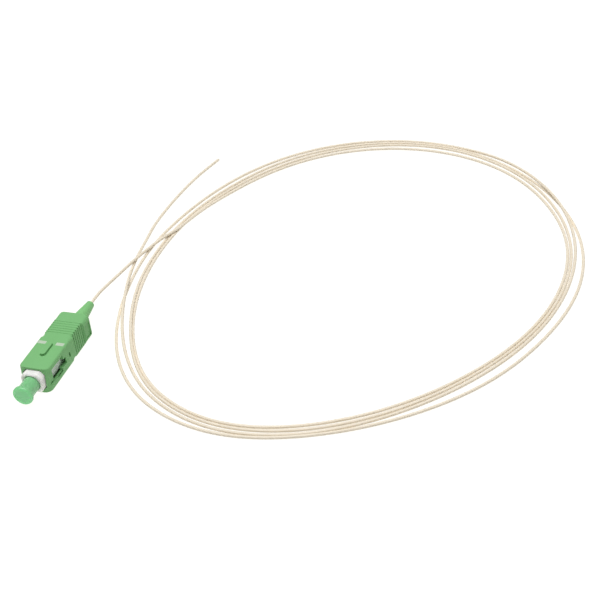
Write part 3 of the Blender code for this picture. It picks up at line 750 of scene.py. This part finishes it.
zirconia = Finish("polished_zirconia", coat=0.2)
cone_radius, cone_length = FERRULE_CONE
slope = math.tan(math.radians(FERRULE_SLOPE))
tip = FERRULE_TIP - PLUG_MIDDLE
grinding = zirconia.place.noise(6.0, detail=3.0)
tip_face = zirconia.axis(1) < tip + FERRULE_TIP_ZONE
core = zirconia.distance((0.0, tip + cone_radius * slope, AXIS_HEIGHT)) < GLASS_RADIUS
zirconia.set(Base_Color=core.blend(zirconia.place.noise(0.5).blend(ZIRCONIA, ZIRCONIA_WARM), CORE_GLASS),
             Roughness=(0.1 + 0.14 * grinding) - 0.06 * tip_face, Normal=grinding.bump(0.001))
ferrule_rod = turned("ferrule_rod", [
    (0, 0), (cone_radius * 0.5, 0), (cone_radius, 0.0), (FERRULE_RADIUS - 0.03, cone_length - 0.06),
    (FERRULE_RADIUS, cone_length), (FERRULE_RADIUS, FERRULE_LENGTH - 0.15),
    (FERRULE_RADIUS - 0.15, FERRULE_LENGTH), (0, FERRULE_LENGTH)], zirconia)
for vertex in ferrule_rod.data.vertices:
    behind_tip = vertex.co.y * 1000 + PLUG_MIDDLE
    if behind_tip < FERRULE_TIP_ZONE:
        vertex.co.y += (vertex.co.z - (AXIS_HEIGHT - cone_radius) * 0.001) * slope
    vertex.co.y += FERRULE_TIP * 0.001
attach(ferrule_rod, "ferrule_group")
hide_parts("ferrule")


# The ferrule's flange: a brass collar turned on a lathe and plated with nickel. It is pressed onto the
# ferrule's rear end, and its thin tail runs inside the spring.
COLLAR_FRONT = 6.0
COLLAR_LENGTH = 3.2
COLLAR_RADIUS = 2.25
COLLAR_TAIL_RADIUS = 1.0
COLLAR_TAIL_LENGTH = 4.4
COLLAR_CUP = (1.35, 2.5)              # the radius and depth of the hole that takes the ferrule
COLLAR_TOOL_MARKS = 38.0              # waves in 6.28 mm
BARE_BORE = 0.7                       # the radius of the bore round the fibre, to the boot's mouth
NICKEL = (0.620, 0.590, 0.530)
NICKEL_WORN = (0.560, 0.520, 0.440)

nickel = Finish("nickel_plate", metallic=1.0)
tool_marks = (COLLAR_TOOL_MARKS * nickel.axis(1)).sine()
stains = nickel.place.noise(1.2, detail=3.0)
nickel.set(Base_Color=stains.ramp(0.35, 0.75).blend(NICKEL, NICKEL_WORN),
           Roughness=0.2 + 0.2 * stains, Normal=tool_marks.bump(0.002))
cup_radius, cup_depth = COLLAR_CUP
collar_end = COLLAR_LENGTH + COLLAR_TAIL_LENGTH
collar_outline = [
    (cup_radius, 0.08), (cup_radius + 0.08, 0), (COLLAR_RADIUS - 0.2, 0), (COLLAR_RADIUS - 0.06, 0.06),
    (COLLAR_RADIUS, 0.2), (COLLAR_RADIUS, COLLAR_LENGTH - 0.12), (COLLAR_RADIUS - 0.12, COLLAR_LENGTH),
    (COLLAR_TAIL_RADIUS + 0.1, COLLAR_LENGTH), (COLLAR_TAIL_RADIUS, COLLAR_LENGTH + 0.1),
    (COLLAR_TAIL_RADIUS, collar_end - 0.1), (COLLAR_TAIL_RADIUS - 0.1, collar_end), (BARE_BORE, collar_end),
    (BARE_BORE, cup_depth), (cup_radius, cup_depth)]
flange_collar = turned("flange_collar", [(radius, y + COLLAR_FRONT) for radius, y in collar_outline], nickel)
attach(flange_collar, "ferrule_group")
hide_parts("ferrule_flange")


# The spring: drawn steel wire wound into a coil, with closed turns at both ends. It sits between the
# flange's collar and the stop ring, and pushes the ferrule forward.
SPRING_ENDS = (9.7, 14.0)
SPRING_TURNS = 6
SPRING_TURN_POINTS = 36
SPRING_RADIUS = 2.0
SPRING_WIRE = 0.2         # the wire's radius
SPRING_WIRE_SIDES = 12
SPRING_END_PITCH = 0.5
STEEL = (0.520, 0.520, 0.530)
STEEL_DARK = (0.400, 0.400, 0.415)

steel = Finish("spring_wire", metallic=1.0)
drawing = steel.place.noise(3.0, detail=4.0)
steel.set(Base_Color=drawing.ramp(0.3, 0.7).blend(STEEL_DARK, STEEL), Roughness=0.2 + 0.22 * drawing,
          Normal=steel.place.noise(14.0).bump(0.002))
spring_coil = piece("spring_coil", bmesh.new())
coil = Tree("spring_coil", Turns=float(SPRING_TURNS), Radius=SPRING_RADIUS / 1000, Wire=SPRING_WIRE / 1000,
            Length=(SPRING_ENDS[1] - SPRING_ENDS[0]) / 1000, End_Pitch=SPRING_END_PITCH / 1000,
            Front=(SPRING_ENDS[0] - PLUG_MIDDLE) / 1000, Axis=AXIS_HEIGHT / 1000)
share = coil.add("GeometryNodeSplineParameter")["Factor"]
turn = coil.maths("MULTIPLY", coil.maths("MULTIPLY", share, coil.start["Turns"]), math.tau)
closed = coil.maths("MULTIPLY", coil.start["End_Pitch"], coil.start["Turns"])
middle = coil.add("ShaderNodeMapRange", {"interpolation_type": "SMOOTHSTEP"}, Value=share,
                  From_Min=1 / SPRING_TURNS, From_Max=1 - 1 / SPRING_TURNS)[0]
opened = coil.maths("MULTIPLY", middle, coil.maths("SUBTRACT", coil.start["Length"], closed))
wound = coil.maths("ADD", coil.start["Front"], opened)
reach = coil.maths("ADD", wound, coil.maths("MULTIPLY", closed, share))
side = coil.maths("MULTIPLY", coil.start["Radius"], coil.maths("COSINE", turn))
lift = coil.maths("MULTIPLY", coil.start["Radius"], coil.maths("SINE", turn))
rise = coil.maths("ADD", lift, coil.start["Axis"])
place = coil.add("ShaderNodeCombineXYZ", X=side, Y=reach, Z=rise)
wire_line = coil.add("GeometryNodeCurvePrimitiveLine")
wire_line = coil.add("GeometryNodeResampleCurve",
                     Curve=wire_line[0], Count=SPRING_TURNS * SPRING_TURN_POINTS + 1)
wire_line = coil.add("GeometryNodeSetPosition", Geometry=wire_line[0], Position=place[0])
wire_ring = coil.add("GeometryNodeCurvePrimitiveCircle",
                     Resolution=SPRING_WIRE_SIDES, Radius=coil.start["Wire"])
wire_skin = coil.add("GeometryNodeCurveToMesh",
                     Curve=wire_line[0], Profile_Curve=wire_ring[0], Fill_Caps=True)
coil.run(spring_coil, wire_skin[0], steel.material)
shade(spring_coil, 50)
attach(spring_coil, "plug")
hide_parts("spring")
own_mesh(spring_coil)


# The stop ring: a black moulded ring pressed into the plug frame's rear end. It holds the spring, its
# shoulder stands against the frame, and the boot is pushed over its tail.
STOP_FRONT = 14.5
STOP_OUTLINE = [          # radius, and distance behind its front
    (1.2, 0.1), (1.3, 0), (2.25, 0), (2.35, 0.12), (2.35, 2.8), (2.88, 2.8), (3.0, 2.92), (3.0, 4.18),
    (2.88, 4.3), (1.35, 4.3), (1.3, 4.4), (1.3, 11.85), (1.15, 12.0), (BARE_BORE, 12.0),
    (BARE_BORE, 3.5), (1.2, 3.5)]
STOP_BLACK = (0.018, 0.018, 0.020)
STOP_BLACK_LIGHT = (0.030, 0.030, 0.032)

stop_plastic = moulded("black_stop_plastic", STOP_BLACK, STOP_BLACK_LIGHT, 0.5)
stop_body = turned("stop_body", [(radius, y + STOP_FRONT) for radius, y in STOP_OUTLINE], stop_plastic)
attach(stop_body, "plug")
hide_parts("stop_ring")


# The boot: a short tapered sleeve moulded from soft green rubber and pushed over the stop ring's tail. It
# keeps the fibre from bending sharply where it leaves the plug.
BOOT_FRONT = 19.1
BOOT_REAR = 34.8
BOOT_BASE = 2.3
BOOT_END = 1.2
BOOT_BORE = (1.4, 26.8)               # its radius and rear end
BOOT_MOUTH = 0.55
BOOT_ROUND = 0.06
BOOT_GREEN = (0.222, 0.540, 0.208)
BOOT_GREEN_DEEP = (0.205, 0.510, 0.190)

boot_rubber = moulded("green_boot_rubber", BOOT_GREEN, BOOT_GREEN_DEEP, 0.58, grain=0.007)
boot_bore, boot_step = BOOT_BORE
tapered_boot = turned("tapered_boot", [
    (boot_bore, BOOT_FRONT + 0.1), (boot_bore + 0.1, BOOT_FRONT), (BOOT_BASE - 0.1, BOOT_FRONT),
    (BOOT_BASE, BOOT_FRONT + 0.1), (BOOT_BASE, GRIP_LENGTH - 0.1), (BOOT_BASE - 0.02, GRIP_LENGTH + 0.15),
    (BOOT_END, BOOT_REAR - BOOT_ROUND), (BOOT_END - 0.3 * BOOT_ROUND, BOOT_REAR - 0.3 * BOOT_ROUND),
    (BOOT_END - BOOT_ROUND, BOOT_REAR), (BOOT_MOUTH + 0.08, BOOT_REAR), (BOOT_MOUTH, BOOT_REAR - 0.08),
    (BOOT_MOUTH, BOOT_REAR - 2), (BARE_BORE, BOOT_REAR - 3), (BARE_BORE, boot_step),
    (boot_bore, boot_step)], boot_rubber, sides=96)
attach(tapered_boot, "plug")
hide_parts("boot")


# The dust cap: a soft glossy green cap, moulded in one piece and pushed over the ferrule. Fingers pull it
# by its round flange, and its hollow neck stands in the plug frame's mouth.
CAP_FRONT = -7.6
CAP_REAR = 3.3
CAP_RADIUS = 2.9
CAP_DISC = 1.1            # how thick its round flange is
CAP_DISC_ROUND = 0.25     # the flange's rear edge
CAP_ROUND = 0.4           # its front edge
CAP_FILLET = 0.3          # between the flange and the neck
CAP_NECK = 2.36
CAP_BORE = 1.4
CAP_FLOOR = -5.6
CAP_GREEN = (0.225, 0.550, 0.262)
CAP_GREEN_DEEP = (0.210, 0.525, 0.245)
CAP_PAINTED_LIGHT_GREEN = (0.248, 0.700, 0.318)    # painted light: the front is painted lighter, standing in for light that comes through the thin flange
CAP_PAINTED_LIGHT_REACH = 0.3            # how far back the painted light reaches


def arc(radius, y, size, degrees):
    """Points of (radius, y) on an arc about such a point; its angles run from straight outwards."""
    return [(radius + size * math.cos(math.radians(angle)), y + size * math.sin(math.radians(angle)))
            for angle in degrees]


cap_plastic = moulded("green_cap_plastic", CAP_GREEN, CAP_GREEN_DEEP, 0.34, grain=0.003)
# Painted light: the cap's front is painted a lighter green, standing in for light shining through its thin
# flange
painted_light = (CAP_FRONT + CAP_PAINTED_LIGHT_REACH - PLUG_MIDDLE - cap_plastic.axis(1)).ramp(0.0, 0.25)
cap_plastic.set(Base_Color=painted_light.blend(cap_plastic.colour, CAP_PAINTED_LIGHT_GREEN),
                Subsurface_Weight=0.6, Subsurface_Scale=0.002, Subsurface_Radius=(0.8, 1.0, 0.8))
disc_rear = CAP_FRONT + CAP_DISC
cap_outline = [
    (0, CAP_FRONT),
    *arc(CAP_RADIUS - CAP_ROUND, CAP_FRONT + CAP_ROUND, CAP_ROUND, range(-90, 1, 15)),
    *arc(CAP_RADIUS - CAP_DISC_ROUND, disc_rear - CAP_DISC_ROUND, CAP_DISC_ROUND, range(0, 91, 30)),
    *arc(CAP_NECK + CAP_FILLET, disc_rear + CAP_FILLET, CAP_FILLET, range(-90, -181, -30)),
    (CAP_NECK, CAP_REAR - 0.2), (CAP_NECK - 0.2, CAP_REAR), (CAP_BORE + 0.15, CAP_REAR),
    (CAP_BORE, CAP_REAR - 0.15), (CAP_BORE, CAP_FLOOR), (0, CAP_FLOOR)]
dust_cap_body = turned("dust_cap_body", cap_outline, cap_plastic, sides=96)
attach(dust_cap_body, "cap")
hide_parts("dust_cap")
